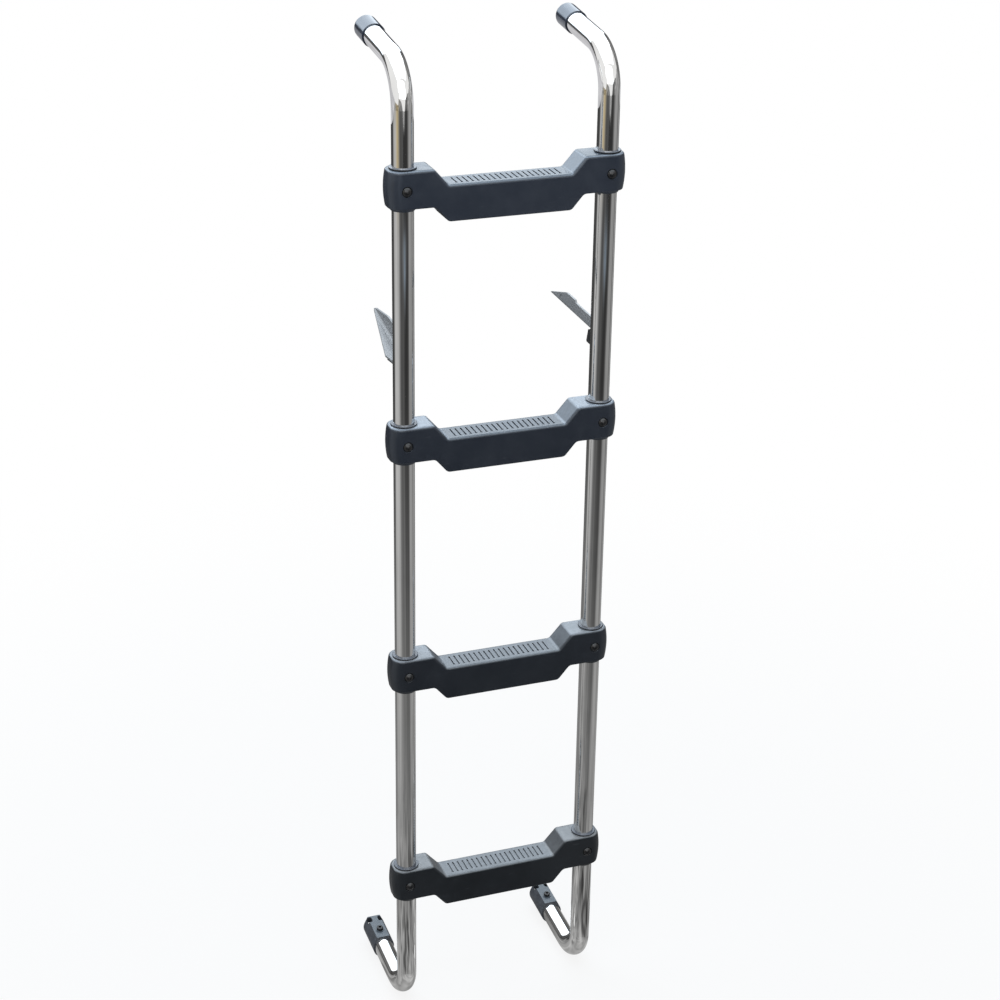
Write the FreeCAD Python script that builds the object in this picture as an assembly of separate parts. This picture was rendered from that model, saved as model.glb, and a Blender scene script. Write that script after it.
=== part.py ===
import FreeCAD, Part
import math
import os

os.makedirs("parts", exist_ok=True)
V = FreeCAD.Vector

# Access ladder for a truck cab: two bent tube rails carry four moulded steps.
# X runs from the left rail to the right one, Y points at the vehicle and Z is up.
# The origin is the centre of the left foot's rear face, which bolts to the vehicle.

# Rails
tube_d = 31.75
tube_wall = 1.5
rail_spacing = 307.0
stand_off = 190.0
foot_tilt = 4.5
low_bend_r = 51.5
low_rise = 176.0
hook_rise = 112.5
hook_bend_r = 64.0
hook_angle = 83.0
hook_reach = 111.5

# Steps
step_count = 4
step_pitch = 383.0
step_front = 21.5
step_rear = 25.5
step_end_reach = 25.8
step_corner_r = 18.0
step_edge_r = 4.5
step_foot_r = 1.8
end_bulge = 3.2
tread_half = 92.5
tread_height = 5.3
tread_skin = 4.5
shoulder_run = 21.0
shoulder_height = 29.0
shoulder_r = 7.0
shoulder_foot_r = 6.0
block_drop = 25.7
sleeve_d = 39.0
sleeve_foot_d = 35.6
sleeve_drop = 4.0
bar_drop = 47.8
bar_run = 19.0
bar_corner_r = 9.0
bar_wall = 3.5
rib_thickness = 2.5
cell_count = 6
cell_corner_r = 3.0
cell_end_wall = 8.0
tube_play = 0.4

# Anti-slip grooves in each tread
groove_count = 20
groove_pitch = 8.2
groove_width = 2.2
groove_depth = 2.0
groove_eye_d = 3.6
groove_front = 10.5
groove_rear = 14.5

# Collars where the rails leave the steps
collar_d = 39.6
collar_neck_d = 36.4
collar_seat = 4.0
collar_gap = 0.8
collar_flange = 1.9
collar_edge_r = 0.8

# Bolts that pin the steps to the rails
bolt_d = 6.0
bolt_play = 0.3
bolt_head_d = 14.8
bolt_head_h = 5.0
bolt_recess = 1.0
bolt_recess_margin = 0.9
nut_flats = 10.0
nut_h = 5.0
nut_play = 0.2
nut_sink = 1.0

# Caps on the upper ends of the rails
cap_d = 35.2
cap_length = 41.0
cap_floor = 4.0
cap_edge_r = 4.0

# Feet on the lower ends of the rails
foot_d = 36.6
foot_flat_w = 22.0
foot_flat_rise = 0.9
foot_length = 66.0
foot_mouth_slant = 8.0
foot_socket_end = 22.0
foot_edge_r = 3.5
foot_rim_r = 1.0
pocket_spacing = 18.0
pocket_width = 8.0
pocket_front_r = 3.6
pocket_rear_r = 2.0
pocket_wall = 5.0
pocket_length = 12.0
pocket_floor = 1.0
screw_hole_d = 5.5
screw_height = 6.0
foot_bolt_back = 38.0
foot_bolt_d = 6.0
foot_bolt_head_d = 11.0
foot_bolt_head_h = 4.6
foot_bolt_edge_r = 1.6
foot_bolt_socket = 5.0
foot_bolt_socket_depth = 2.6
foot_bolt_length = 8.0
foot_boss_d = 14.5
foot_boss_h = 0.8

# Sheet brackets behind the rails, each set at a height and tilt of its own
bracket_drop_left = 271.5
bracket_drop_right = 247.0
bracket_tilt_left = 11.2
bracket_tilt_right = 1.4
sheet = 3.0
bracket_offset = 9.6
bracket_length = 175.0
bracket_web = 22.3
bracket_ear = 3.7
bracket_ear_start = 71.5
bracket_ear_end = 108.0
bracket_ear_r = 60.0
bracket_ramp = 4.0
bracket_ramp_r = 3.0
bracket_tip = 4.5
bracket_tip_r = 2.0
flange_reach = 14.5
flange_wide_at = 43.0
flange_front = 10.0
flange_front_reach = 4.0
flange_corner_r = 5.0
flange_tip = 1.5
fold_r = 8.0
bracket_hole_d = 6.6
bracket_hole_at = 131.0
bracket_hole_height = 11.8

# Black wedge that carries each bracket on its rail
saddle_inner = 13.0
saddle_outer = 5.0
saddle_height = 21.0
saddle_top_depth = 18.0
saddle_bottom_depth = 24.0
saddle_front = 4.0
saddle_edge_r = 2.0
pad_thickness = 2.0

# Values that follow from the sizes above
tube_r = tube_d / 2
rail_y = -stand_off
tilt = math.radians(foot_tilt)
leg_dir = V(0, -math.cos(tilt), -math.sin(tilt))
leg_up = V(0, -math.sin(tilt), math.cos(tilt))
low_corner = V(0, rail_y, rail_y * math.tan(tilt))
low_tangent = low_bend_r * math.tan((math.pi / 2 + tilt) / 2)
low_straight_z = low_corner.z + low_tangent
step_z = [low_straight_z + low_rise + i * step_pitch for i in range(step_count)]
hook_z = step_z[-1] + hook_rise
hook_turn = math.radians(hook_angle)
hook_dir = V(0, math.sin(hook_turn), math.cos(hook_turn))
rail_x = [0.0, rail_spacing]
sides = ["left", "right"]
bracket_drop = [bracket_drop_left, bracket_drop_right]
bracket_tilt = [bracket_tilt_left, bracket_tilt_right]
levels = ["bottom", "lower", "upper", "top"]
step_names = [levels[i] if step_count == len(levels) else str(i + 1) for i in range(step_count)]
step_depth = step_front + step_rear
bolt_seat = step_front - bolt_recess
nut_y = step_rear - nut_h - nut_sink
foot_flat_h = foot_d / 2 + foot_flat_rise


def moved(shape, x, y, z):
    """A copy of the shape, shifted."""
    copy = shape.copy()
    copy.translate(V(x, y, z))
    return copy


def mirrored(shape):
    """The other hand of a piece built about the plane x = 0."""
    return shape.mirror(V(0, 0, 0), V(1, 0, 0))


def rounded_wire(points, radii):
    """A closed wire through the points, each corner eased by an arc of its own radius."""
    edges = []
    ends = []
    count = len(points)
    for i in range(count):
        here = points[i]
        to_prev = (points[i - 1] - here).normalize()
        to_next = (points[(i + 1) % count] - here).normalize()
        if radii[i] <= 0:
            ends.append((here, here, here))
            continue
        half = math.acos(max(-1.0, min(1.0, to_prev.dot(to_next)))) / 2
        reach = radii[i] / math.tan(half)
        middle = (to_prev + to_next).normalize()
        crown = here + middle * (radii[i] / math.sin(half) - radii[i])
        ends.append((here + to_prev * reach, crown, here + to_next * reach))
    for i in range(count):
        first, crown, last = ends[i]
        if (last - first).Length > 1e-6:
            edges.append(Part.Arc(first, crown, last).toShape())
        start = ends[(i + 1) % count][0]
        if (start - last).Length > 1e-6:
            edges.append(Part.LineSegment(last, start).toShape())
    return Part.Wire(edges)


def prism(points, radii, direction):
    """The rounded outline pushed along a direction into a solid."""
    return Part.Face(rounded_wire(points, radii)).extrude(direction)


def revolved(points, radii, origin, axis):
    """A rounded half profile turned once round an axis."""
    return Part.Face(rounded_wire(points, radii)).revolve(origin, axis, 360)


def sharp_edges(shape, keep):
    """The edges where two faces meet at an angle and that the test keeps."""
    found = []
    for edge in shape.Edges:
        faces = shape.ancestorsOfType(edge, Part.Face)
        if len(faces) != 2:
            continue
        middle = edge.valueAt((edge.FirstParameter + edge.LastParameter) / 2)
        normals = [f.normalAt(*f.Surface.parameter(middle)) for f in faces]
        if abs(normals[0].dot(normals[1])) < 0.9 and keep(middle):
            found.append(edge)
    return found


# Rails: straight foot leg, low bend and long upright, then the hook's bend and its straight end
leg_start = leg_dir * foot_socket_end
leg_end = low_corner - leg_dir * low_tangent
upright_start = low_corner + V(0, 0, low_tangent)
low_centre = upright_start + V(0, low_bend_r, 0)
hook_start = V(0, rail_y, hook_z)
hook_centre = hook_start + V(0, hook_bend_r, 0)
hook_end = hook_centre + V(0, -hook_bend_r * math.cos(hook_turn), hook_bend_r * math.sin(hook_turn))
rail_tip = hook_end + hook_dir * hook_reach


def run(radius, start, end):
    """A straight length of round bar."""
    return Part.makeCylinder(radius, (end - start).Length, start, end - start)


def bend(radius, start, heading, centre, angle):
    """A length of round bar bent upwards or rearwards in the rail's own plane."""
    disc = Part.Face(Part.Wire([Part.makeCircle(radius, start, heading)]))
    return disc.revolve(centre, V(-1, 0, 0), angle)


def leg_bar(radius):
    low_bend = bend(radius, leg_end, leg_dir, low_centre, 90 + foot_tilt)
    return run(radius, leg_start, leg_end).fuse(low_bend).removeSplitter()


def hook_bar(radius):
    hook_bend = bend(radius, hook_start, V(0, 0, 1), hook_centre, hook_angle)
    return hook_bend.fuse(run(radius, hook_end, rail_tip)).removeSplitter()


bore_r = tube_r - tube_wall
hook = hook_bar(tube_r).cut(hook_bar(bore_r))
leg = leg_bar(tube_r).cut(leg_bar(bore_r))
rail = run(tube_r, upright_start, hook_start).cut(run(bore_r, upright_start, hook_start))
for z in step_z:
    hole = Part.makeCylinder(bolt_d / 2 + bolt_play, 2 * tube_d, V(0, rail_y - tube_d, z), V(0, 1, 0))
    rail = rail.cut(hole)
foot_bolt_at = leg_dir * foot_bolt_back
leg = leg.cut(Part.makeCylinder(foot_bolt_d / 2, tube_d, foot_bolt_at, leg_up))

# Caps: a cup with a rounded end, pushed over the hook's tip
cap_r = cap_d / 2
cap_profile = [V(0, 0, 0), V(cap_r, 0, 0), V(cap_r, 0, -cap_length), V(tube_r, 0, -cap_length),
               V(tube_r, 0, -cap_floor), V(0, 0, -cap_floor)]
cap = revolved(cap_profile, [0, cap_edge_r, 0, 0, 0, 0], V(0, 0, 0), V(0, 0, 1))
cap.rotate(V(0, 0, 0), V(1, 0, 0), -hook_angle)
cap.translate(rail_tip + hook_dir * cap_floor)


# Steps: a dog-bone body, hollow and ribbed from below, sleeved on both rails
half_span = rail_spacing / 2
end_x = half_span + step_end_reach
right_half = [(tread_half, tread_height, shoulder_foot_r),
              (tread_half + shoulder_run, shoulder_height, shoulder_r),
              (end_x + step_end_reach, shoulder_height, 0), (end_x + step_end_reach, -block_drop, 0),
              (tread_half + bar_run, -block_drop, bar_corner_r), (tread_half, -bar_drop, bar_corner_r)]
corners = right_half + [(-x, z, r) for x, z, r in reversed(right_half)]
outline = [V(x, -step_front, z) for x, z, r in corners]
outline_r = [r for x, z, r in corners]
block_middle = (shoulder_height - block_drop) / 2
step_height = shoulder_height + bar_drop


def barrel():
    """What lies between the two bulging ends: each is an arc that stands furthest out at mid height."""
    inset = end_bulge * (2 * step_height / (shoulder_height + block_drop)) ** 2
    low, high = block_middle - step_height, block_middle + step_height
    right, left = [[V(side * (end_x - inset), -step_front, low), V(side * end_x, -step_front, block_middle),
                    V(side * (end_x - inset), -step_front, high)] for side in (1, -1)]
    sides = [Part.Arc(*right).toShape(), Part.makeLine(right[2], left[2]),
             Part.Arc(*reversed(left)).toShape(), Part.makeLine(left[0], right[0])]
    return Part.Face(Part.Wire(sides)).extrude(V(0, step_depth, 0))


def step_blank():
    """The outer form: the front outline between bulging ends, its upright corners and then its rims eased."""
    body = prism(outline, outline_r, V(0, step_depth, 0)).common(barrel())
    block_x = tread_half + bar_run
    upright = sharp_edges(body, lambda p: abs(p.x) > block_x and abs(p.z - block_middle) < step_edge_r)
    body = body.makeFillet(step_corner_r, upright)
    waist = (tread_height - block_drop) / 2
    body = body.makeFillet(step_edge_r, sharp_edges(body, lambda p: p.z > waist))
    return body.makeFillet(step_foot_r, sharp_edges(body, lambda p: p.z < waist))


def groove(x):
    """One groove with a round eye at its front end."""
    z = tread_height - groove_depth
    run = groove_front + groove_rear
    slot = Part.makeBox(groove_width, run, 2 * groove_depth, V(x - groove_width / 2, -groove_front, z))
    return slot.fuse(Part.makeCylinder(groove_eye_d / 2, 2 * groove_depth, V(x, -groove_front, z)))


def cell(x, width):
    """One hollow between two ribs, open below."""
    front = -step_front + bar_wall
    rear = step_rear - bar_wall
    low = -bar_drop - step_edge_r
    corners = [V(x - width / 2, front, low), V(x + width / 2, front, low),
               V(x + width / 2, rear, low), V(x - width / 2, rear, low)]
    return prism(corners, [cell_corner_r] * 4, V(0, 0, tread_height - tread_skin - low))


def hexagon(flats, height):
    """A hexagonal prism along +Y, standing on y = 0."""
    reach = flats / math.sqrt(3)
    corners = [V(reach * math.cos(a), 0, reach * math.sin(a)) for a in [i * math.pi / 3 for i in range(6)]]
    return prism(corners, [0] * 6, V(0, height, 0))


def make_step():
    ends = (-half_span, half_span)
    sleeve = Part.makeCone(sleeve_d / 2, sleeve_foot_d / 2, sleeve_drop, V(0, 0, -block_drop), V(0, 0, -1))
    body = step_blank().fuse([moved(sleeve, x, 0, 0) for x in ends])
    cutters = []
    first = -(groove_count - 1) * groove_pitch / 2
    cutters += [groove(first + i * groove_pitch) for i in range(groove_count)]
    hollow = 2 * (tread_half - cell_end_wall)
    width = (hollow - (cell_count - 1) * rib_thickness) / cell_count
    cutters += [cell(-hollow / 2 + width / 2 + i * (width + rib_thickness), width) for i in range(cell_count)]
    for x in ends:
        cutters.append(Part.makeCylinder(tube_r + tube_play, step_height, V(x, 0, -bar_drop)))
        seat = V(x, 0, shoulder_height - collar_seat)
        cutters.append(Part.makeCylinder(collar_neck_d / 2, 2 * collar_seat, seat))
        bolt_start = V(x, -step_depth, 0)
        cutters.append(Part.makeCylinder(bolt_d / 2 + bolt_play, 2 * step_depth, bolt_start, V(0, 1, 0)))
        recess_r = bolt_head_d / 2 + bolt_recess_margin
        cutters.append(Part.makeCylinder(recess_r, step_depth, V(x, -bolt_seat - step_depth, 0), V(0, 1, 0)))
        cutters.append(moved(hexagon(nut_flats + nut_play, step_depth), x, nut_y, 0))
    return body.cut(cutters)


step = make_step()

# Collar: a flanged ring that fills the play round the rail and stands proud of the step
collar_low = shoulder_height - collar_seat
flange_low = shoulder_height + collar_gap
flange_high = flange_low + collar_flange
collar_profile = [V(tube_r, 0, collar_low), V(collar_neck_d / 2, 0, collar_low),
                  V(collar_neck_d / 2, 0, flange_low), V(collar_d / 2, 0, flange_low),
                  V(collar_d / 2, 0, flange_high), V(tube_r, 0, flange_high)]
collar = revolved(collar_profile, [0, 0, 0, 0, collar_edge_r, 0], V(0, 0, 0), V(0, 0, 1))


def make_bolt():
    """A domed bolt along +Y, its head seated in the step's front recess."""
    r = bolt_head_d / 2
    dome_r = (r * r + bolt_head_h * bolt_head_h) / (2 * bolt_head_h)
    crown = V(0, -bolt_head_h, 0)
    turn = math.asin(r / dome_r) / 2
    middle = V(dome_r * math.sin(turn), dome_r - bolt_head_h - dome_r * math.cos(turn), 0)
    rim = V(r, 0, 0)
    edges = [Part.LineSegment(V(0, 0, 0), crown).toShape(), Part.Arc(crown, middle, rim).toShape(),
             Part.LineSegment(rim, V(0, 0, 0)).toShape()]
    head = Part.Face(Part.Wire(edges)).revolve(V(0, 0, 0), V(0, 1, 0), 360)
    length = bolt_seat + step_rear - nut_sink
    return moved(head.fuse(Part.makeCylinder(bolt_d / 2, length, V(0, 0, 0), V(0, 1, 0))), 0, -bolt_seat, 0)


bolt = make_bolt()
nut_blank = moved(hexagon(nut_flats, nut_h), 0, nut_y, 0)
nut = nut_blank.cut(Part.makeCylinder(bolt_d / 2, 2 * step_depth, V(0, -step_depth, 0), V(0, 1, 0)))


# Feet: a sleeve with a flat top, a slanted mouth and a solid rear end for two screws
def on_leg(shape):
    """Turns a piece built along -Y from the origin onto the tilted leg."""
    shape.rotate(V(0, 0, 0), V(1, 0, 0), foot_tilt)
    return shape


def make_foot():
    r = foot_d / 2
    spare = foot_d
    shoulder = math.acos(foot_flat_h / math.hypot(foot_flat_h, foot_flat_w / 2))
    side = math.acos(r / math.hypot(foot_flat_h, foot_flat_w / 2)) + shoulder
    touch = V(r * math.sin(side), 0, r * math.cos(side))
    top = [V(-foot_flat_w / 2, spare, foot_flat_h), V(foot_flat_w / 2, spare, foot_flat_h),
           V(touch.x, spare, touch.z), V(-touch.x, spare, touch.z)]
    length = foot_length + spare
    body = Part.makeCylinder(r, length, V(0, spare, 0), V(0, -1, 0))
    body = body.fuse(prism(top, [foot_rim_r, foot_rim_r, 0, 0], V(0, -length, 0))).removeSplitter()
    front = -foot_length
    slope = foot_mouth_slant / foot_d
    mouth = [V(-foot_d, front - spare, -foot_d), V(-foot_d, front - slope * (foot_d - r), -foot_d),
             V(-foot_d, front + slope * (foot_d + r), foot_d), V(-foot_d, front - spare, foot_d)]
    body = on_leg(body.cut(prism(mouth, [0] * 4, V(2 * foot_d, 0, 0))))
    body = body.cut(Part.makeBox(4 * foot_d, 4 * foot_d, 4 * foot_d, V(-2 * foot_d, 0, -2 * foot_d)))
    body = body.makeFillet(foot_edge_r, sharp_edges(body, lambda p: abs(p.y) < 1e-6))
    boss = Part.makeCylinder(foot_boss_d / 2, foot_flat_h + foot_boss_h, V(0, -foot_bolt_back, 0), V(0, 0, 1))
    body = body.fuse(on_leg(boss)).removeSplitter()
    socket = Part.makeCylinder(tube_r, 2 * foot_length, V(0, -foot_socket_end, 0), V(0, -1, 0))
    shank_r = foot_bolt_d / 2 + bolt_play
    cutters = [on_leg(socket), on_leg(Part.makeCylinder(shank_r, foot_d, V(0, -foot_bolt_back, 0)))]
    for x in (-pocket_spacing / 2, pocket_spacing / 2):
        w = pocket_width / 2
        back = -pocket_wall
        corners = [V(x - w, back - pocket_length, pocket_floor), V(x + w, back - pocket_length, pocket_floor),
                   V(x + w, back, pocket_floor), V(x - w, back, pocket_floor)]
        cutters.append(prism(corners, [pocket_front_r] * 2 + [pocket_rear_r] * 2, V(0, 0, foot_d)))
        screw = V(x, -pocket_wall * 1.5, screw_height)
        cutters.append(Part.makeCylinder(screw_hole_d / 2, foot_d / 2, screw, V(0, 1, 0)))
    return body.cut(cutters)


foot = make_foot()


def make_foot_bolt():
    """A socket-head screw down through the foot's boss into the rail."""
    base = foot_flat_h + foot_boss_h
    r = foot_bolt_head_d / 2
    head = [V(0, 0, base), V(r, 0, base), V(r, 0, base + foot_bolt_head_h), V(0, 0, base + foot_bolt_head_h)]
    body = revolved(head, [0, 0, foot_bolt_edge_r, 0], V(0, 0, 0), V(0, 0, 1))
    body = body.fuse(Part.makeCylinder(foot_bolt_d / 2, foot_bolt_length, V(0, 0, base - foot_bolt_length)))
    socket = hexagon(foot_bolt_socket, foot_bolt_head_h)
    socket.rotate(V(0, 0, 0), V(1, 0, 0), 90)
    socket.translate(V(0, 0, base + foot_bolt_head_h - foot_bolt_socket_depth))
    return on_leg(moved(body.cut(socket), 0, -foot_bolt_back, 0))


foot_bolt = make_foot_bolt()


# Brackets: one folded sheet, an upright web with an ear and a flange that tapers to the tip
bracket_inner = -bracket_offset
bracket_outer = bracket_inner - sheet


def set_on_rail(shape, tilt_angle):
    """Tilts a bracket piece about the rail's axis and hollows it to fit the rail."""
    shape.rotate(V(0, 0, 0), V(1, 0, 0), tilt_angle)
    return shape.cut(Part.makeCylinder(tube_r, 2 * bracket_length, V(0, 0, -bracket_length)))


def make_bracket(tilt_angle):
    high = bracket_web + bracket_ear
    fold = [V(bracket_outer, 0, 0), V(flange_reach, 0, 0), V(flange_reach, 0, sheet),
            V(bracket_inner, 0, sheet), V(bracket_inner, 0, high), V(bracket_outer, 0, high)]
    blank = prism(fold, [fold_r, 0, 0, fold_r - sheet, 0, 0], V(0, bracket_length, 0))
    ear = bracket_ear_start + bracket_ramp
    heights = [(0, 0), (bracket_length, 0), (bracket_length, bracket_tip), (bracket_ear_end, high),
               (ear, high), (bracket_ear_start, bracket_web), (0, bracket_web)]
    side = [V(bracket_outer, along, up) for along, up in heights]
    side_r = [0, 0, bracket_tip_r, bracket_ear_r, bracket_ramp_r, bracket_ramp_r, 0]
    web = prism(side, side_r, V(flange_reach - bracket_outer, 0, 0))
    above = [V(bracket_outer, flange_front, 0), V(flange_front_reach, flange_front, 0),
             V(flange_reach, flange_wide_at, 0), V(bracket_inner + flange_tip, bracket_length, 0),
             V(bracket_outer, bracket_length, 0)]
    flange = prism(above, [0, 0, flange_corner_r, 0, 0], V(0, 0, high))
    at = V(bracket_outer - sheet, bracket_hole_at, bracket_hole_height)
    hole = Part.makeCylinder(bracket_hole_d / 2, 3 * sheet, at, V(1, 0, 0))
    return set_on_rail(blank.common(web).common(flange).cut(hole), tilt_angle)


def make_saddle(tilt_angle):
    """A wedge behind the rail, with a pad that runs out under the flange."""
    side = [V(-saddle_inner, saddle_front, 0), V(-saddle_inner, saddle_top_depth, 0),
            V(-saddle_inner, saddle_bottom_depth, -saddle_height),
            V(-saddle_inner, saddle_front, -saddle_height)]
    wedge = prism(side, [0, 0, saddle_edge_r, 0], V(saddle_inner + saddle_outer, 0, 0))
    under = [V(0, flange_front, -pad_thickness), V(flange_front_reach, flange_front, -pad_thickness),
             V(flange_reach, flange_wide_at, -pad_thickness), V(0, flange_wide_at, -pad_thickness)]
    pad = prism(under, [0, 0, flange_corner_r, 0], V(0, 0, pad_thickness))
    return set_on_rail(wedge.fuse(pad).removeSplitter(), tilt_angle)


def save(name, shape):
    """Writes one node of the ladder."""
    if not shape.isValid():
        raise ValueError(name + " is not a sound solid")
    shape.exportStep("parts/" + name + ".step")
    print(name, len(shape.Solids), round(shape.Volume / 1000.0, 2), "cm3")


for side, x, drop, angle in zip(sides, rail_x, bracket_drop, bracket_tilt):
    save("rail_" + side, moved(rail, x, 0, 0))
    save("rail_hook_" + side, moved(hook, x, 0, 0))
    save("rail_leg_" + side, moved(leg, x, 0, 0))
    save("top_cap_" + side, moved(cap, x, 0, 0))
    save("foot_" + side, moved(foot, x, 0, 0))
    save("foot_bolt_" + side, moved(foot_bolt, x, 0, 0))
    bracket, saddle = make_bracket(angle), make_saddle(angle)
    if side == "left":
        bracket, saddle = mirrored(bracket), mirrored(saddle)
    save("bracket_" + side, moved(bracket, x, rail_y, step_z[-1] - drop))
    save("bracket_saddle_" + side, moved(saddle, x, rail_y, step_z[-1] - drop))

for name, z in zip(step_names, step_z):
    save("step_" + name, moved(step, half_span, rail_y, z))
    save("step_collars_" + name, Part.makeCompound([moved(collar, x, rail_y, z) for x in rail_x]))
    save("step_bolts_" + name, Part.makeCompound([moved(bolt, x, rail_y, z) for x in rail_x]))
    save("step_nuts_" + name, Part.makeCompound([moved(nut, x, rail_y, z) for x in rail_x]))
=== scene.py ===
# %% [markdown]
# # A truck cab access ladder, dressed in Blender
# The ladder has two bent chromed tubes, four moulded plastic steps, black caps on the hooked ends, two
# folded sheet brackets and two plastic feet. Its solids come from the CAD model, already in metres and in
# one frame: X runs from the left rail to the right one, Y towards the vehicle and Z up. This lesson only
# gives them a camera, a studio and finishes, so the solids themselves are never moved or reshaped.

# %% Load the solids
import math
import bpy
import numpy as np
from mathutils import Matrix, Vector


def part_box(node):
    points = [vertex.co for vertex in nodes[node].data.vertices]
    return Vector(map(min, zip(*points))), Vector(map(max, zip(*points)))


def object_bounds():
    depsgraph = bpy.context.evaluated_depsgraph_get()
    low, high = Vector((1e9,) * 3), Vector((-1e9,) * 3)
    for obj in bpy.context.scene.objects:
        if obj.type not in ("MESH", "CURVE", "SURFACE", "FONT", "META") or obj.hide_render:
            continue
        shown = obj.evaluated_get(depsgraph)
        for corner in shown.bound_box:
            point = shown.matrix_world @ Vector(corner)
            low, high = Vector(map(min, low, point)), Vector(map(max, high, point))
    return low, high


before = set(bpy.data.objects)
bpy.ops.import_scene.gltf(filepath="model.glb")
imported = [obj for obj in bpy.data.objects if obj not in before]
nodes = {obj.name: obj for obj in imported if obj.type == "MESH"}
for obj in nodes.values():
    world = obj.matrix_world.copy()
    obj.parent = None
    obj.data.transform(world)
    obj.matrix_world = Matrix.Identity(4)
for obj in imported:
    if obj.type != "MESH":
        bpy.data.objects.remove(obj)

cad_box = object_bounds()
print("solids", len(nodes), "box", [[round(c, 4) for c in corner] for corner in cad_box])

# %% [markdown]
# ## The camera
# A photograph fixes the camera: the lens gives the size of things on the picture, and the vanishing lines
# give its turn. One could aim with a Track To constraint, but a measured camera is easier to keep as three
# axes and a place, because then nothing else in the scene can shift it.

# %% Set the camera
camera_right = Vector((0.938965, -0.343728, 0.013983))
camera_up = Vector((0.130697, 0.394034, 0.909756))
camera_back = Vector((-0.318219, -0.852401, 0.414908))
camera_place = Vector((-0.86838, -2.92176, 2.19775))

camera = bpy.data.objects.new("camera", bpy.data.cameras.new("camera"))
camera.data.sensor_width = 36.0
camera.data.lens = 76.446
camera_turn = Matrix((camera_right, camera_up, camera_back)).transposed().to_4x4()
camera.matrix_world = Matrix.Translation(camera_place) @ camera_turn
bpy.context.scene.collection.objects.link(camera)
bpy.context.scene.camera = camera
bpy.context.scene.view_settings.view_transform = "Standard"
print("camera", [round(c, 3) for c in camera.location], "lens", camera.data.lens)

# %% [markdown]
# ## Surfaces from two numbers
# Every new mesh in this lesson is a surface: a function takes two parameters, u and v, and gives a point.
# One could click such shapes together from primitives. Working them out with numpy keeps the whole surface
# in three arrays, so a whole mesh is written at once and its formula can be read in one place.

# %% A helper that turns a grid of points into a mesh
def surface(name, points):
    """Joins a grid of points, rows by columns by xyz, into four-sided faces: each face takes a point, the
    next one down, the one across from it and the next one along."""
    rows, columns, _ = points.shape
    numbers = np.arange(rows * columns).reshape(rows, columns)
    a, b = numbers[:-1, :-1].ravel(), numbers[1:, :-1].ravel()
    c, d = numbers[1:, 1:].ravel(), numbers[:-1, 1:].ravel()
    loops = np.stack([a, b, c, d], axis=1).astype(np.int32)
    mesh = bpy.data.meshes.new(name)
    mesh.vertices.add(rows * columns)
    mesh.vertices.foreach_set("co", points.reshape(-1).astype(np.float32))
    mesh.loops.add(loops.size)
    mesh.loops.foreach_set("vertex_index", loops.ravel())
    mesh.polygons.add(len(loops))
    mesh.polygons.foreach_set("loop_start", np.arange(0, loops.size, 4, dtype=np.int32))
    mesh.update(calc_edges=True)
    mesh.validate()
    made = bpy.data.objects.new(name, mesh)
    bpy.context.scene.collection.objects.link(made)
    print("surface", name, len(mesh.polygons), "faces")
    return made


# %% [markdown]
# ## The floor
# The ladder stands on a plain pale floor. A white floor could be had by pouring on more light, but that
# would bleach the ladder too. Instead the floor's own colour is pale, and the Light Path node lets the
# camera and the mirror-like chrome see it as plain white: fully from a few steps away, and only mostly
# close to the ladder, so that the ladder's soft shadow still lies there.

# %% Make the floor
floor_z = cad_box[0][2]
floor_half = 30
middle = np.array([(cad_box[0][0] + cad_box[1][0]) / 2, (cad_box[0][1] + cad_box[1][1]) / 2, floor_z])
ticks = np.linspace(-floor_half, floor_half, 13)
u, v = np.meshgrid(ticks, ticks, indexing="ij")
floor = surface("floor", middle + np.stack([u, v, 0 * u], axis=2))


def looked_at(tree):
    """One for the rays that look at a background: camera, glossy and transmission rays."""
    path = tree.nodes.new("ShaderNodeLightPath")
    most = path.outputs["Is Camera Ray"]
    for ray in ("Is Glossy Ray", "Is Transmission Ray"):
        larger = tree.nodes.new("ShaderNodeMath")
        larger.operation = "MAXIMUM"
        tree.links.new(most, larger.inputs[0])
        tree.links.new(path.outputs[ray], larger.inputs[1])
        most = larger.outputs[0]
    return most


def floor_paint(colour, near_share, near, far):
    """Pale diffuse paint that background rays see mixed with white: by near_share up to the near distance
    from the ladder, and wholly beyond the far one."""
    material = bpy.data.materials.new("pale_floor")
    material.use_nodes = True
    tree = material.node_tree
    tree.nodes.clear()
    place = tree.nodes.new("ShaderNodeTexCoord")
    away = tree.nodes.new("ShaderNodeVectorMath")
    away.operation = "DISTANCE"
    away.inputs[1].default_value = middle
    tree.links.new(place.outputs["Object"], away.inputs[0])
    share = tree.nodes.new("ShaderNodeMapRange")
    share.interpolation_type = "SMOOTHSTEP"
    for socket, value in zip(share.inputs[1:5], (near, far, near_share, 1.0)):
        socket.default_value = value
    tree.links.new(away.outputs["Value"], share.inputs[0])
    part = tree.nodes.new("ShaderNodeMath")
    part.operation = "MULTIPLY"
    tree.links.new(looked_at(tree), part.inputs[0])
    tree.links.new(share.outputs[0], part.inputs[1])
    diffuse = tree.nodes.new("ShaderNodeBsdfDiffuse")
    diffuse.inputs["Color"].default_value = (*colour, 1)
    white = tree.nodes.new("ShaderNodeEmission")
    blend = tree.nodes.new("ShaderNodeMixShader")
    out = tree.nodes.new("ShaderNodeOutputMaterial")
    tree.links.new(part.outputs[0], blend.inputs[0])
    tree.links.new(diffuse.outputs[0], blend.inputs[1])
    tree.links.new(white.outputs[0], blend.inputs[2])
    tree.links.new(blend.outputs[0], out.inputs["Surface"])
    return material


floor.data.materials.append(floor_paint(colour=(0.68, 0.68, 0.68), near_share=0.86, near=0.5, far=2.2))
print("floor at", round(floor_z, 4))

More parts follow.
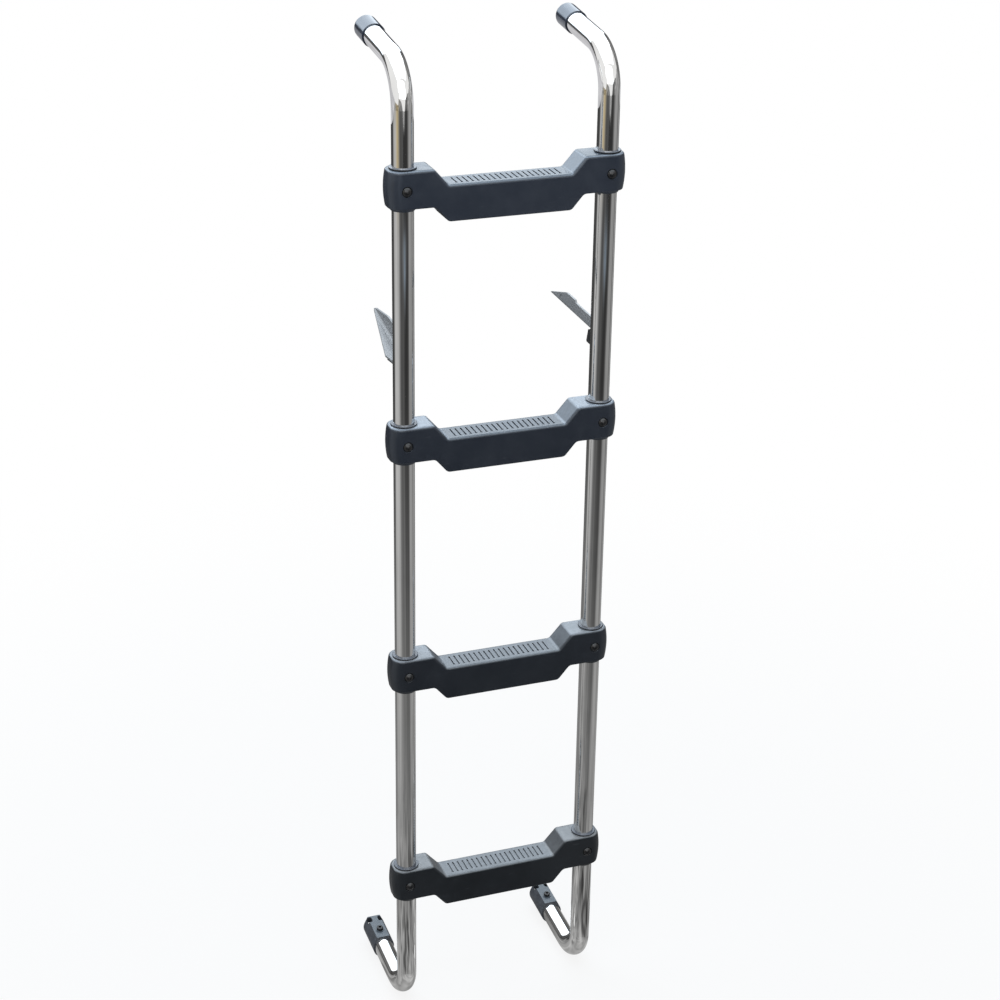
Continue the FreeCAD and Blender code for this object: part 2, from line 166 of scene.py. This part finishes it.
# %% [markdown]
# ## The sky and the lamps
# The ladder was lit by a broad, slightly cool sky: the treads and the tops of the end blocks shine pale
# blue-grey because they mirror it, while the fronts stay nearly black. One lamp cannot do that. A dim world
# gives the even part. A wide panel overhead lights the tops and rims, a second one behind and above is what
# the flat tops mirror, a small one in front sets a spark on the bolt heads, and a large faint one above the
# camera whitens the hooks. A panel's brightness is its power divided by pi and by its area.

# %% Light the studio
def sky(strength, tint):
    """A world that is white to background rays and dimmer as a source of light."""
    world = bpy.data.worlds.new("sky")
    world.use_nodes = True
    tree = world.node_tree
    tree.nodes.clear()
    dim = tree.nodes.new("ShaderNodeBackground")
    dim.inputs["Color"].default_value = (*tint, 1)
    dim.inputs["Strength"].default_value = strength
    plain = tree.nodes.new("ShaderNodeBackground")
    plain.inputs["Color"].default_value = (1, 1, 1, 1)
    blend = tree.nodes.new("ShaderNodeMixShader")
    out = tree.nodes.new("ShaderNodeOutputWorld")
    tree.links.new(looked_at(tree), blend.inputs[0])
    tree.links.new(dim.outputs[0], blend.inputs[1])
    tree.links.new(plain.outputs[0], blend.inputs[2])
    tree.links.new(blend.outputs[0], out.inputs["Surface"])
    bpy.context.scene.world = world


def panel(name, place, aim, wide, high, brightness, tint):
    """A flat soft lamp, wide by high metres, that faces the aim."""
    lamp = bpy.data.lights.new(name, "AREA")
    lamp.shape = "RECTANGLE"
    lamp.size, lamp.size_y = wide, high
    lamp.energy = brightness * math.pi * wide * high
    lamp.color = tint
    holder = bpy.data.objects.new(name, lamp)
    away = (Vector(aim) - Vector(place)).normalized()
    holder.matrix_world = Matrix.Translation(place) @ away.to_track_quat("-Z", "Y").to_matrix().to_4x4()
    holder.visible_camera = False
    bpy.context.scene.collection.objects.link(holder)
    print("panel", name, "power", round(lamp.energy, 1))


cool = (0.79, 0.90, 1.0)
sky(strength=0.32, tint=(0.90, 0.96, 1.0))
panel("overhead_panel", (0.15, 0.35, 3.5), (0.15, 0.35, 0.0), 4.6, 4.4, 1.75, cool)
panel("back_panel", (0.15, 2.75, 2.75), (0.15, -0.19, 1.2), 5.0, 1.9, 2.1, cool)
panel("front_panel", (-1.5, -2.0, 2.7), (0.15, -0.19, 1.2), 0.8, 0.8, 2.4, (0.95, 0.97, 1.0))
panel("front_sky_panel", (-0.4, -3.3, 3.15), (0.15, -0.19, 1.5), 4.4, 2.4, 1.3, (0.92, 0.96, 1.0))

# %% [markdown]
# ## The ground that the chrome mirrors
# An upright chromed tube seen from above mirrors the ground all round it: its middle shows the ground
# towards the camera, its edges the ground behind. On a bare white floor it would turn into a white stick.
# Photographers lay grey and black cards round such a piece. Here one bowl of card does it, seen only by
# glossy rays. Its tone is a function of the bearing, so it turns into streaks along the tube, and of the
# distance, because a high part of the tube mirrors far ground and a low part the ground at its foot.

# %% Lay strips of tone round the ladder
# each strip: the bearings where it begins, is full, fades and ends, its tone far off and its tone close by
ground_strips = {
    "pale_yard": (-107, -91, -60, -10, 0.63, 0.43),
    "drive": (-45, -12, 48, 70, 0.11, 0.33),
    "dark_drive": (-2, 13, 42, 58, 0.045, 0.24),
    "grey_kerb": (50, 76, 94, 120, 0.41, 0.40),
    "pale_edge": (112, 126, 131, 154, 0.47, 0.43),
}
ground_behind = (0.075, 0.40)
card_level = 0.86


def ease(value, low, high):
    """An S curve that leaves nought at low and reaches one at high."""
    t = np.clip((value - low) / (high - low), 0, 1)
    return t * t * (3 - 2 * t)


def lay(strips, below, bearing):
    """Lays strips over one another in their order: a strip's share rises from begin to full and falls from
    fade to end, and by that share it covers the numbers below it."""
    laid = [np.full_like(bearing, number) for number in below]
    for begin, full, fade, end, *numbers in strips.values():
        share = ease(bearing, begin, full) * (1 - ease(bearing, fade, end))
        laid = [old + share * (new - old) for old, new in zip(laid, numbers)]
    return laid


print("card strips", list(ground_strips))


# %% Break the strips up with patches
def patches(u, v, seed):
    """Patchy noise from -1 to 1: random numbers on the whole-number corners of the u-v plane, joined by
    S curves along both."""
    dice = np.random.default_rng(seed).uniform(-1, 1, (512, 64))
    i, j = np.floor(u).astype(int), np.floor(v).astype(int)
    a, b = ease(u - i, 0, 1), ease(v - j, 0, 1)
    low = (1 - a) * dice[i % 512, j % 64] + a * dice[(i + 1) % 512, j % 64]
    high = (1 - a) * dice[i % 512, (j + 1) % 64] + a * dice[(i + 1) % 512, (j + 1) % 64]
    return (1 - b) * low + b * high


near_reach, far_reach = 0.5, 2.8
mottle_share, stroke_share = 0.35, 0.78
under_lift, under_calm = 0.30, 0.75


def card_tone(bearing, reach):
    """Grey of the flat card: the strips' near tones turn into their far tones over the logarithm of the
    reach. Dark strokes and mottling grow towards the ladder and calm down right under it, where the bends
    mirror paler ground, and fine streaks run everywhere."""
    far, near = lay(ground_strips, ground_behind, bearing)
    depth = np.log(reach)
    away = np.clip((depth - np.log(near_reach)) / np.log(far_reach / near_reach), 0, 1)
    close = 1 - ease(depth, np.log(0.30), np.log(1.1))
    under = 1 - ease(reach, 0.15, 0.25)
    mottle = patches(bearing / 24 + 40, depth / 0.20 + 20, 3)
    stroke = ease(patches(bearing / 16 + 60, depth / 0.30 + 30, 7), 0.14, 0.40)
    stroke = np.maximum(stroke, 0.8 * ease(patches(bearing / 9 + 60, depth / 0.16 + 30, 9), 0.22, 0.47))
    streak = patches(bearing / 5 + 90, depth / 0.5 + 20, 5)
    tone = (near + away * (far - near)) * (1 + under_lift * under)
    tone = tone * (1 + mottle_share * close * mottle)
    tone = tone * (1 - stroke_share * close * stroke * (1 - under_calm * under))
    return card_level * tone * (1 + (0.20 - 0.05 * away) * streak)


print("card tones blend between", near_reach, "and", far_reach, "m")

# %% [markdown]
# ### The bowl itself
# The card lies flat for some metres and then turns up into a low wall, because the hooks mirror what
# stands on the horizon. The wall is lowest just right of the camera: there the mirrored sky runs down the
# hooks as a bright wedge. It is highest behind on the right, where it draws a dark line down the hooks'
# edge. The surface's two parameters are the bearing and how far out one has walked.

# %% Shape the reflection card
# each strip: the bearings where it begins, is full, fades and ends, the wall's height and its tone
wall_strips = {
    "yard_wall": (-120, -100, -38, -24, 1.0, 0.42),
    "gate_post": (-36, -24, -14, 0, 2.0, 0.40),
    "sky_gap": (-14, 12, 20, 42, 0.05, 0.50),
    "hedge_right": (40, 72, 112, 135, 3.2, 0.44),
    "dark_hedge": (104, 124, 160, 174, 5.6, 0.26),
}
wall_behind = (2.7, 0.12)
flat_part, flat_start, flat_reach, wall_lean = 0.75, 0.02, 5.7, 0.3
card_middle = np.array([0.1535, -0.19])
# the level ways towards the camera and to its right
towards = -np.array([0.349746, 0.936845])
rightwards = np.array([0.939058, -0.343762])

bearing, walk = np.meshgrid(np.linspace(180, -180, 721), np.linspace(0, 1, 120), indexing="ij")
reach = flat_start * (flat_reach / flat_start) ** np.clip(walk / flat_part, 0, 1)
climb = np.clip((walk - flat_part) / (1 - flat_part), 0, 1)
wall, wall_tone = lay(wall_strips, wall_behind, bearing)
wall = wall * (1 + 0.08 * patches(bearing / 5 + 40, 0 * bearing, 11))
angle = np.radians(bearing)[..., None]
way = np.cos(angle) * towards + np.sin(angle) * rightwards
spot = card_middle + (reach + wall_lean * climb)[..., None] * way
card = surface("reflection_card", np.dstack([spot, floor_z + 0.001 + climb * wall]))

# %% Colour the reflection card
# over the greys lie a golden glow far out on the left and, in front, a pale blue wedge that widens outwards
grey = card_tone(bearing, reach)
wall_tone = card_level * wall_tone * (1 + 0.55 * patches(bearing / 6 + 40, climb * 6, 17))
grey = grey + np.clip(climb * 3, 0, 1) * (wall_tone - grey)
gold = np.exp(-((bearing + 48) / 17) ** 2) * ease(reach, 4.2, 5.5)
blue_width = 6 + 12 * ease(reach, 3.2, 4.2)
blue = np.exp(-((bearing - 15) / blue_width) ** 2) * np.exp(-((reach - 3.9) / 0.36) ** 2)
grey = np.clip(grey + 0.26 * blue, 0.02, 1)
tints = ((0.20, -0.25), (-0.02, -0.05), (-0.42, 0.18))
card_colour = [grey * (1 + of_gold * gold + of_blue * blue) for of_gold, of_blue in tints]
card_colour = np.stack(card_colour + [np.ones_like(grey)], axis=2)
print("card grey from", round(float(grey.min()), 2), "to", round(float(grey.max()), 2))


# %% Print and hang the reflection card
def hang(card, colour):
    """Prints the colours on a card's points and lets its upper side glow, for glossy rays only."""
    printed = card.data.attributes.new("shade", "FLOAT_COLOR", "POINT")
    printed.data.foreach_set("color", colour.astype(np.float32).ravel())
    paper = bpy.data.materials.new("paper_of_" + card.name)
    paper.use_nodes = True
    tree = paper.node_tree
    tree.nodes.clear()
    shade = tree.nodes.new("ShaderNodeAttribute")
    shade.attribute_name = "shade"
    lit = tree.nodes.new("ShaderNodeEmission")
    side = tree.nodes.new("ShaderNodeNewGeometry")
    clear = tree.nodes.new("ShaderNodeBsdfTransparent")
    blend = tree.nodes.new("ShaderNodeMixShader")
    out = tree.nodes.new("ShaderNodeOutputMaterial")
    tree.links.new(shade.outputs["Color"], lit.inputs["Color"])
    tree.links.new(side.outputs["Backfacing"], blend.inputs[0])
    tree.links.new(lit.outputs[0], blend.inputs[1])
    tree.links.new(clear.outputs[0], blend.inputs[2])
    tree.links.new(blend.outputs[0], out.inputs["Surface"])
    card.data.materials.append(paper)
    card.visible_camera = card.visible_diffuse = card.visible_shadow = card.visible_transmission = False


hang(card, card_colour)
print("hung", card.name, "with", card_colour.shape[0] * card_colour.shape[1], "printed points")

# %% [markdown]
# ### A small card under the hooks
# The hooks' undersides shone pale, though the tubes below them show dark ground at the same bearings, so
# something pale lay close under them. A flat card behind the rails does that. It hangs above the top step,
# so the upright tubes, which only mirror what lies below them, never see it, and it is clear from below,
# so the top step still mirrors the sky through it.

# %% Hang the hook card
hook_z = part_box("rail_hook_left")[0][2]
hook_drop = 0.03
sideways, behind = np.meshgrid(np.linspace(-0.80, 0.50, 66), np.linspace(-0.155, 0.75, 46), indexing="ij")
hook_card = surface("hook_card", np.dstack([sideways, behind, 0 * sideways + hook_z - hook_drop]))
pale = 0.66 + 0.16 * patches(sideways / 0.03 + 60, behind / 0.08 + 20, 23)
hang(hook_card, np.stack([pale, pale, 1.04 * pale, np.ones_like(pale)], axis=2))

# %% [markdown]
# ### A dark flag behind the hooks
# A white hook on a white background loses its outline. Photographers stand a narrow black flag just outside
# the picture, and its mirror image draws a thin dark line inside the edge. Here the flag rises behind the
# hooks on the right. It slopes so that its plane passes between the hooks and the top step: the hooks see
# its upper side, and everything below looks through its clear back at the sky.

# %% Raise the hook flag
flag_rise, flag_start, flag_back = 0.27, 0.25, 0.15
flag_left, flag_drift, flag_width, flag_spread = 0.15, 0.5, 0.60, 0.1
aside, onward = np.meshgrid(np.linspace(0, 1, 41), np.linspace(0, 2, 81), indexing="ij")
flag_x = flag_left + flag_drift * onward + aside * (flag_width + flag_spread * onward)
flag_z = hook_z + flag_rise * (onward + flag_start + flag_back)
hook_flag = surface("hook_flag", np.dstack([flag_x, onward + flag_start, flag_z]))
dark = 0.13 + 0.07 * patches(aside / 0.05 + 60, onward / 0.10, 29)
hang(hook_flag, np.stack([dark, dark, 1.2 * dark, np.ones_like(dark)], axis=2))

# %% [markdown]
# ## A small kit for finishes
# A finish is one Principled shader with textures on its sockets. Building the nodes by hand in the editor
# is fine for one material, but nine finishes share the same few moves: a stretched noise, a soft threshold,
# a blend of two colours, a bump. This class names those moves, so each finish reads as a short recipe.
# All textures read Object coordinates, which are metres in the ladder's own frame.

# %% The finish kit
class Finish:
    """One material: a Principled shader whose sockets take plain values or the outputs of these moves."""

    def __init__(self, name, **values):
        self.material = bpy.data.materials.new(name)
        self.material.use_nodes = True
        self.tree = self.material.node_tree
        self.tree.nodes.clear()
        self.shader = self.add("ShaderNodeBsdfPrincipled")
        out = self.add("ShaderNodeOutputMaterial")
        self.tree.links.new(self.shader.outputs[0], out.inputs["Surface"])
        lookup = self.add("ShaderNodeTexCoord")
        self.place = lookup.outputs["Object"]
        self.x, _, self.z = self.add("ShaderNodeSeparateXYZ", {"Vector": self.place}).outputs
        self.up = self.add("ShaderNodeSeparateXYZ", {"Vector": lookup.outputs["Normal"]}).outputs["Z"]
        self.height = None
        self.feed(**values)

    def add(self, kind, inputs=None, **settings):
        """Makes one node with these inputs and settings."""
        made = self.tree.nodes.new(kind)
        for key, value in settings.items():
            setattr(made, key, value)
        for key, value in (inputs or {}).items():
            self.plug(made.inputs[key], value)
        return made

    def plug(self, socket, value):
        """Links a socket to another node's output, or sets it to a plain value."""
        if isinstance(value, bpy.types.NodeSocket):
            self.tree.links.new(value, socket)
        else:
            socket.default_value = (*value, 1) if socket.type == "RGBA" and len(value) == 3 else value

    def feed(self, **values):
        """Sets or links sockets of the shader; an underscore stands for a space."""
        for key, value in values.items():
            self.plug(self.shader.inputs[key.replace("_", " ")], value)

    def noise(self, scale, stretch=(1, 1, 1), detail=4.0, rough=0.55, turn=(0, 0, 0)):
        """Noise with so many cells per metre; a stretch below one draws it out along that axis."""
        laid = self.add("ShaderNodeMapping", {"Vector": self.place, "Scale": stretch, "Rotation": turn})
        inputs = {"Vector": laid.outputs[0], "Scale": scale, "Detail": detail, "Roughness": rough}
        return self.add("ShaderNodeTexNoise", inputs).outputs["Fac"]

    def cells(self, scale, feature="F1"):
        """Distance to the middle of the nearest of so many cells per metre."""
        inputs = {"Vector": self.place, "Scale": scale}
        return self.add("ShaderNodeTexVoronoi", inputs, feature=feature).outputs["Distance"]

    def span(self, value, low, high, first=0.0, last=1.0):
        """A soft threshold: first below low, last above high, and an S curve between them."""
        made = self.add("ShaderNodeMapRange", interpolation_type="SMOOTHSTEP")
        for socket, given in zip(made.inputs[:5], (value, low, high, first, last)):
            self.plug(socket, given)
        return made.outputs[0]

    def sum(self, operation, a, b=0.0):
        """One step of arithmetic on two values."""
        made = self.add("ShaderNodeMath", operation=operation)
        for socket, given in zip(made.inputs, (a, b)):
            self.plug(socket, given)
        return made.outputs[0]

    def blend(self, share, a, b):
        """Colour a where the share is nought, colour b where it is one."""
        made = self.add("ShaderNodeMix", data_type="RGBA")
        for key, given in (("Factor_Float", share), ("A_Color", a), ("B_Color", b)):
            self.plug(next(s for s in made.inputs if s.identifier == key), given)
        return next(s for s in made.outputs if s.identifier == "Result_Color")

    def bump(self, height, distance, strength=1.0):
        """Adds one layer of relief, in metres, over the layers that are there."""
        inputs = {"Height": height, "Distance": distance, "Strength": strength}
        if self.height is not None:
            inputs["Normal"] = self.height
        self.height = self.add("ShaderNodeBump", inputs).outputs[0]
        self.feed(Normal=self.height)

    def dress(self, *names):
        """Puts the finish on every solid whose name starts with one of these."""
        count = 0
        for name, solid in nodes.items():
            if name.startswith(names):
                slots = solid.data.materials
                if not slots:
                    slots.append(self.material)
                for slot in range(len(slots)):
                    slots[slot] = self.material
                count += 1
        print("finish", self.material.name, "on", count, "solids")


# %% [markdown]
# ## Chromed tube
# The rails are steel tube, polished lengthwise and then chromed. Chrome is a mirror with a slightly warm
# grey tint, and what shows on it besides reflections is how it was made: fine draw lines along the tube, a
# faint waviness that makes the reflected streaks wander, cloudy haze from handling and a few tiny pits. Low
# down, road film adds grey smears. Lines and smears follow the tube, so they run along Z on the uprights and
# along Y on the hooks and legs.

# %% Finish the rails
leg_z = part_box("rail_leg_left")[1][2]

steel = Finish("rail_chrome", Metallic=1.0, IOR=1.5)
on_hook = steel.span(steel.z, hook_z + 0.01, hook_z + 0.06)
on_leg = steel.span(steel.z, leg_z, leg_z - 0.05)
lying = steel.sum("MAXIMUM", on_hook, on_leg)


def along(scale, squeeze, detail):
    """Noise drawn out along the tube: along Z where it stands and along Y where it lies."""
    standing = steel.noise(scale, (1, 1, squeeze), detail)
    return steel.blend(lying, standing, steel.noise(scale, (1, squeeze, 1), detail))


drawn = along(260, 0.03, 5)
wander = along(34, 0.10, 3)
haze = steel.noise(22, (1, 1, 0.5), 6, 0.6)
pits = steel.span(steel.cells(420), 0.05, 0.13, 1.0, 0.0)
pits = steel.sum("MULTIPLY", pits, steel.span(steel.noise(60), 0.60, 0.70))
low = steel.span(steel.z, 0.75, 0.10)
tint = steel.blend(steel.span(haze, 0.40, 0.70), (0.800, 0.797, 0.787), (0.735, 0.731, 0.722))
smear = steel.span(along(110, 0.10, 4), 0.52, 0.66)
smear = steel.sum("MULTIPLY", smear, steel.span(low, 0, 1, 0.05, 0.40))
tint = steel.blend(smear, tint, (0.340, 0.340, 0.336))
tint = steel.blend(steel.sum("MULTIPLY", pits, 0.7), tint, (0.16, 0.155, 0.15))
hazy = steel.span(haze, 0.35, 0.75, 0.022, 0.055)
rough = steel.sum("ADD", hazy, steel.span(drawn, 0.40, 0.70, 0.0, 0.030))
steel.feed(Base_Color=tint, Roughness=rough)
steel.bump(wander, 0.0008, 0.45)
steel.bump(drawn, 0.00003, 0.5)
steel.dress("rail_")

# %% [markdown]
# ## Step plastic
# The steps are moulded in a very dark blue-grey plastic with a fine spark-eroded grain. The grain scatters
# the sky's mirror image into a satin sheen, so roughness matters more here than colour. The upper steps are
# painted lighter and the lower ones darker, as painted light and shade. Whatever faces up carries a patchy
# painted sky sheen, pale blue on the top step's slopes, grey on the lower treads and slopes and fainter on
# the upper treads and flat tops, and feet rub the treads paler. The surface's own normal says what faces up,
# and its height says which step it is on, so one material serves all four.

# %% Finish the steps
step_mid = (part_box("step_bottom")[0][0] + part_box("step_bottom")[1][0]) / 2

plastic = Finish("step_plastic", IOR=1.5, Specular_IOR_Level=0.62, Specular_Tint=(0.86, 0.94, 1.0))
high = plastic.span(plastic.z, 0.15, 1.40)
from_middle = plastic.sum("ABSOLUTE", plastic.sum("SUBTRACT", plastic.x, step_mid))
cloud = plastic.noise(14, detail=5)
patch = plastic.noise(55, detail=6, rough=0.62)
top = plastic.span(plastic.up, 0.45, 0.92)
tread = plastic.sum("MULTIPLY", top, plastic.span(from_middle, 0.088, 0.094, 1.0, 0.0))
rub = plastic.noise(90, (1, 0.16, 1), 4, turn=(0, 0, 0.25))
scuffs = plastic.sum("MULTIPLY", tread, plastic.span(rub, 0.50, 0.72))
marks = plastic.span(plastic.noise(260, (0.12, 1, 1), 3, turn=(0, 0.5, 0.3)), 0.66, 0.74)
# Painted light and shade by height: the upper steps lighter, the lower ones darker.
lit_upper_tone = plastic.blend(plastic.span(cloud, 0.35, 0.68), (0.0235, 0.0285, 0.0415), (0.0305, 0.0355, 0.0490))
shaded_lower_tone = plastic.blend(plastic.span(cloud, 0.35, 0.68), (0.0050, 0.0062, 0.0088), (0.0080, 0.0094, 0.0125))
colour = plastic.blend(high, shaded_lower_tone, lit_upper_tone)
colour = plastic.blend(plastic.span(patch, 0.58, 0.80, 0.0, 0.30), colour, (0.0330, 0.0385, 0.0500))
# A patchy painted sky sheen on whatever faces up: pale blue on the top step's slopes, grey on the lower
# treads and slopes, fainter on the upper flat tops and treads.
sheen_share = plastic.sum("MULTIPLY", top, plastic.span(patch, 0.25, 0.75, 0.60, 1.0))
upper_flat_tops = plastic.sum("MULTIPLY", plastic.span(plastic.z, 1.04, 1.38), plastic.span(plastic.up, 0.70, 0.95))
slope_sheen = plastic.blend(high, (0.2600, 0.2620, 0.2680), (0.3700, 0.4250, 0.5000))
block_sheen = plastic.blend(upper_flat_tops, slope_sheen, (0.0560, 0.0720, 0.0940))
tread_sheen = plastic.blend(high, (0.2050, 0.2160, 0.2320), (0.0640, 0.0820, 0.1060))
colour = plastic.blend(sheen_share, colour, plastic.blend(tread, block_sheen, tread_sheen))
colour = plastic.blend(plastic.sum("MULTIPLY", scuffs, 0.50), colour, (0.1700, 0.1800, 0.1950))
colour = plastic.blend(plastic.sum("MULTIPLY", marks, 0.25), colour, (0.0750, 0.0800, 0.0900))
rough = plastic.sum("ADD", plastic.span(patch, 0.30, 0.75, 0.30, 0.40), plastic.sum("MULTIPLY", scuffs, 0.08))
plastic.feed(Base_Color=colour, Roughness=rough)
plastic.bump(cloud, 0.0006, 0.30)
plastic.bump(plastic.cells(900, feature="SMOOTH_F1"), 0.00007, 0.25)
plastic.bump(plastic.noise(1500, detail=2), 0.00003, 0.25)
plastic.dress("step_bottom", "step_lower", "step_upper", "step_top")

# %% [markdown]
# ## Collars
# The collars are turned from the same family of plastic but are smoother, because they are not grained.
# Fine rings from the lathe run round them, which a noise squeezed along Z gives. Their upward rims are
# painted pale as a sky sheen and their sides nearly black as painted shade.

# %% Finish the collars
collar = Finish("collar_plastic", IOR=1.5, Specular_IOR_Level=0.65)
turned = collar.noise(1100, (0.05, 0.05, 1), 3)
soil = collar.noise(70, detail=5)
# Painted sky sheen on the upward rims; painted shade on the sides, which are nearly black.
lit_rim_tone = collar.blend(collar.span(soil, 0.35, 0.70), (0.060, 0.072, 0.094), (0.098, 0.114, 0.144))
side = collar.blend(collar.span(soil, 0.35, 0.70), (0.006, 0.007, 0.010), (0.016, 0.018, 0.024))
collar.feed(Base_Color=collar.blend(collar.span(collar.up, 0.35, 0.85), side, lit_rim_tone),
            Roughness=collar.sum("ADD", collar.span(soil, 0.3, 0.75, 0.24, 0.38),
                                 collar.span(turned, 0.4, 0.7, 0.0, 0.06)))
collar.bump(turned, 0.00005, 0.5)
collar.dress("step_collars")

# %% [markdown]
# ## Bolts, nuts and foot bolts
# The domed bolts are blackened steel: dark, a little oily and only half a mirror. The nuts behind are
# zinc-plated, with the mottled crystals that plating leaves. The oxide film on the black ones hides nearly
# all of the metal, so they are treated as a dark gloss with a tenth of metal in it: that keeps their
# highlights grey.

# %% Finish the fasteners
black = Finish("bolt_black", IOR=1.5, Metallic=0.1, Specular_IOR_Level=0.5)
worn = black.noise(240, detail=5)
scratch = black.span(black.noise(700, (1, 1, 0.08), 2, turn=(0.7, 0, 0)), 0.64, 0.72)
tone = black.blend(black.span(worn, 0.42, 0.72), (0.007, 0.007, 0.008), (0.018, 0.017, 0.017))
black.feed(Base_Color=black.blend(black.sum("MULTIPLY", scratch, 0.35), tone, (0.16, 0.155, 0.15)),
           Roughness=black.span(worn, 0.3, 0.75, 0.14, 0.24))
black.bump(worn, 0.00006, 0.30)
black.dress("step_bolts", "foot_bolt")

zinc = Finish("nut_zinc", IOR=1.5, Metallic=1.0)
crystal = zinc.cells(380)
stain = zinc.noise(120, detail=5)
bright = zinc.blend(zinc.span(crystal, 0.1, 0.7), (0.50, 0.51, 0.52), (0.38, 0.39, 0.40))
zinc.feed(Base_Color=zinc.blend(zinc.span(stain, 0.58, 0.80, 0.0, 0.6), bright, (0.30, 0.27, 0.20)),
          Roughness=zinc.span(stain, 0.3, 0.75, 0.28, 0.46))
zinc.bump(crystal, 0.00010, 0.3)
zinc.dress("step_nuts")

# %% [markdown]
# ## Sheet brackets and their saddles
# The brackets are folded from steel sheet and painted mid grey. Thin paint on sheet shows a slight orange
# peel, a few rubbed spots where metal gleams through, and faint lines from the rolling mill. The saddles
# under their roots are near-black rubber, and their black is partly painted shade under the bracket roots:
# matt, dusty in patches and never quite one tone.

# %% Finish the brackets and saddles
paint = Finish("bracket_grey", IOR=1.5, Specular_IOR_Level=0.5)
peel = paint.noise(520, detail=2)
roll = paint.noise(260, (1, 0.03, 1), 4)
blot = paint.noise(38, detail=6, rough=0.62)
bare = paint.span(paint.noise(130, detail=6, rough=0.7), 0.73, 0.77)
shade = paint.blend(paint.span(blot, 0.35, 0.70), (0.276, 0.277, 0.283), (0.300, 0.301, 0.305))
shade = paint.blend(paint.span(roll, 0.45, 0.75, 0.0, 0.14), shade, (0.180, 0.180, 0.184))
satin = paint.span(blot, 0.3, 0.75, 0.31, 0.35)
paint.feed(Base_Color=paint.blend(paint.sum("MULTIPLY", bare, 0.5), shade, (0.47, 0.46, 0.45)),
           Metallic=paint.sum("MULTIPLY", bare, 0.7),
           Roughness=paint.sum("ADD", satin, paint.sum("MULTIPLY", bare, -0.08)))
paint.bump(peel, 0.00005, 0.015)
paint.bump(roll, 0.00002, 0.05)
paint.dress("bracket_left", "bracket_right")

rubber = Finish("saddle_black", IOR=1.45)
dust = rubber.noise(85, detail=6, rough=0.65)
speck = rubber.noise(900, detail=3)
# Near-black that is partly painted shade under the bracket roots, lighter in random dusty patches.
matt = rubber.blend(rubber.span(dust, 0.45, 0.78), (0.012, 0.012, 0.013), (0.050, 0.049, 0.047))
rubber.feed(Base_Color=matt, Roughness=rubber.span(dust, 0.3, 0.75, 0.55, 0.78))
rubber.bump(speck, 0.00018, 0.4)
rubber.dress("bracket_saddle")

# %% [markdown]
# ## Caps and feet
# The caps are glossy black plastic: an even mirror-like skin with a slight waviness and hair-thin scratches
# from handling. The feet are a greyer, satin plastic with a coarse moulded grain, dirt in patches and a pale
# blue painted sky sheen on whatever faces up.

# %% Finish the caps and feet
gloss = Finish("cap_black", IOR=1.5, Specular_IOR_Level=1.0, Specular_Tint=(0.76, 0.87, 1.0))
skin = gloss.noise(45, detail=3)
hair = gloss.span(gloss.noise(420, (1, 0.06, 1), 3, turn=(0.3, 0, 0.2)), 0.63, 0.72)
film = gloss.noise(130, detail=6, rough=0.65)
base = gloss.blend(gloss.span(skin, 0.35, 0.70), (0.018, 0.022, 0.034), (0.032, 0.038, 0.056))
smooth = gloss.span(film, 0.35, 0.75, 0.12, 0.18)
gloss.feed(Base_Color=gloss.blend(gloss.sum("MULTIPLY", hair, 0.25), base, (0.070, 0.073, 0.080)),
           Roughness=gloss.sum("ADD", smooth, gloss.sum("MULTIPLY", hair, 0.06)))
gloss.bump(skin, 0.0005, 0.20)
gloss.bump(hair, 0.00002, 0.3)
gloss.dress("top_cap")

shoe = Finish("foot_grey", IOR=1.5, Specular_IOR_Level=0.6)
dirt = shoe.noise(75, detail=6, rough=0.65)
coarse = shoe.cells(760, feature="SMOOTH_F1")
tint = shoe.blend(shoe.span(dirt, 0.35, 0.68), (0.040, 0.044, 0.054), (0.066, 0.071, 0.082))
tint = shoe.blend(shoe.span(shoe.noise(210, detail=5), 0.60, 0.78, 0.0, 0.5), tint, (0.120, 0.122, 0.125))
# Painted pale blue sky sheen on whatever faces up.
tint = shoe.blend(shoe.span(shoe.up, 0.5, 0.95, 0.0, 0.8), tint, (0.098, 0.120, 0.142))
shoe.feed(Base_Color=tint, Roughness=shoe.span(dirt, 0.3, 0.75, 0.36, 0.52))
shoe.bump(coarse, 0.00018, 0.30)
shoe.bump(shoe.noise(1300, detail=2), 0.00008, 0.30)
shoe.dress("foot_left", "foot_right")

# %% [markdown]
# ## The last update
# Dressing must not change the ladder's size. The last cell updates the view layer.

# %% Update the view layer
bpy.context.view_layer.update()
